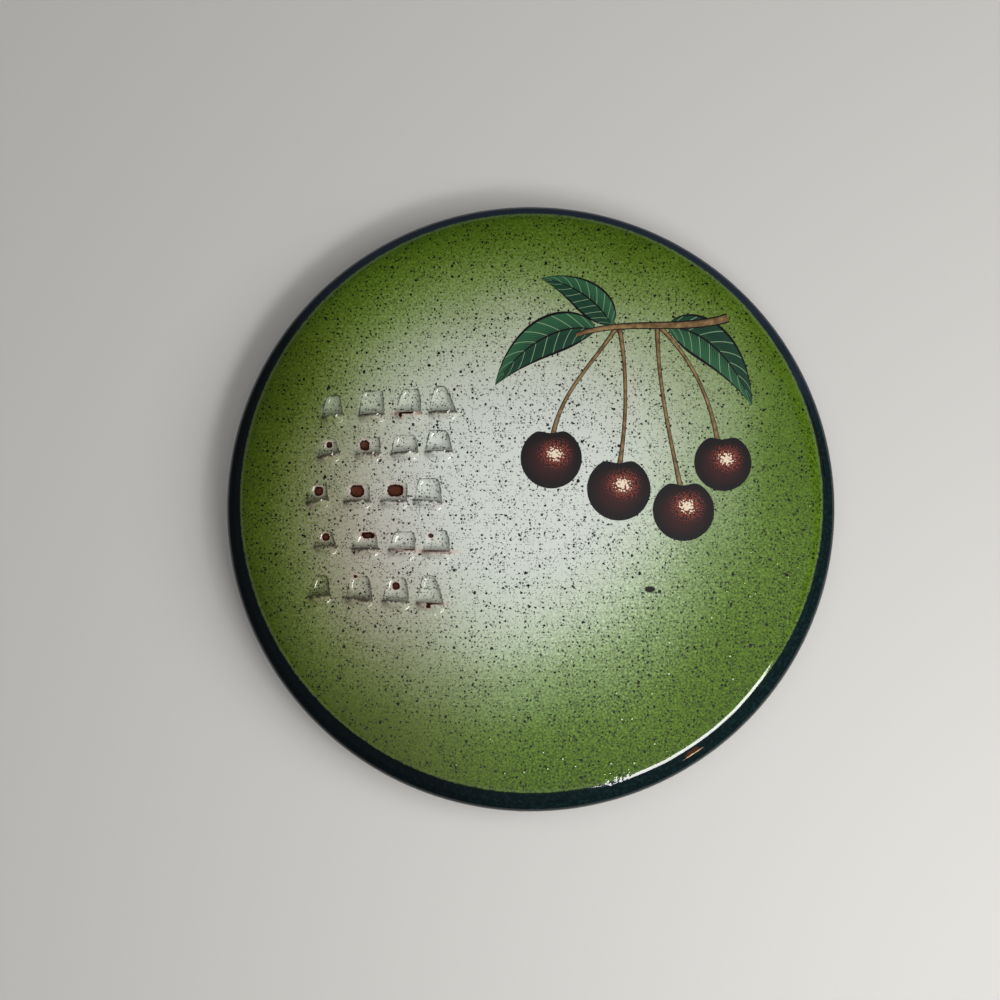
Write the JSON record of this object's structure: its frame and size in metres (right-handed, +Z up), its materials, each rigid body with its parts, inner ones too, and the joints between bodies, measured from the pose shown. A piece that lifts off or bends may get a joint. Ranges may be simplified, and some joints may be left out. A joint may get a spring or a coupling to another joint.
{
  "type": "garlic grater plate",
  "caption": "Round glazed ceramic plate with a block of raised teeth and pockets for grating garlic, a dark rim and a bare clay foot ring.",
  "frame": {"origin": "on the table, under the middle of the plate", "axes": "+Z up out of the grating face; the teeth lie towards -X and each tooth's pocket on its +Y side"},
  "size_m": [0.12, 0.12, 0.0116],
  "materials": {
    "clay": "bare fired red clay",
    "field_glaze": "glossy, pale in the middle to green at the edge, with fine dark specks",
    "rim_glaze": "glossy dark blue-green"
  },
  "bodies": {
    "root": {"clay_body": "clay", "foot_ring": "clay", "field_glaze": "field_glaze", "rim_glaze": "rim_glaze", "tooth_r1_c1": "field_glaze", "tooth_r1_c2": "field_glaze", "tooth_r1_c3": "field_glaze", "tooth_r1_c4": "field_glaze", "tooth_r2_c1": "field_glaze", "tooth_r2_c2": "field_glaze", "tooth_r2_c3": "field_glaze", "tooth_r2_c4": "field_glaze", "tooth_r3_c1": "field_glaze", "tooth_r3_c2": "field_glaze", "tooth_r3_c3": "field_glaze", "tooth_r3_c4": "field_glaze", "tooth_r4_c1": "field_glaze", "tooth_r4_c2": "field_glaze", "tooth_r4_c3": "field_glaze", "tooth_r4_c4": "field_glaze", "tooth_r5_c1": "field_glaze", "tooth_r5_c2": "field_glaze", "tooth_r5_c3": "field_glaze", "tooth_r5_c4": "field_glaze"}
  },
  "joints": []
}
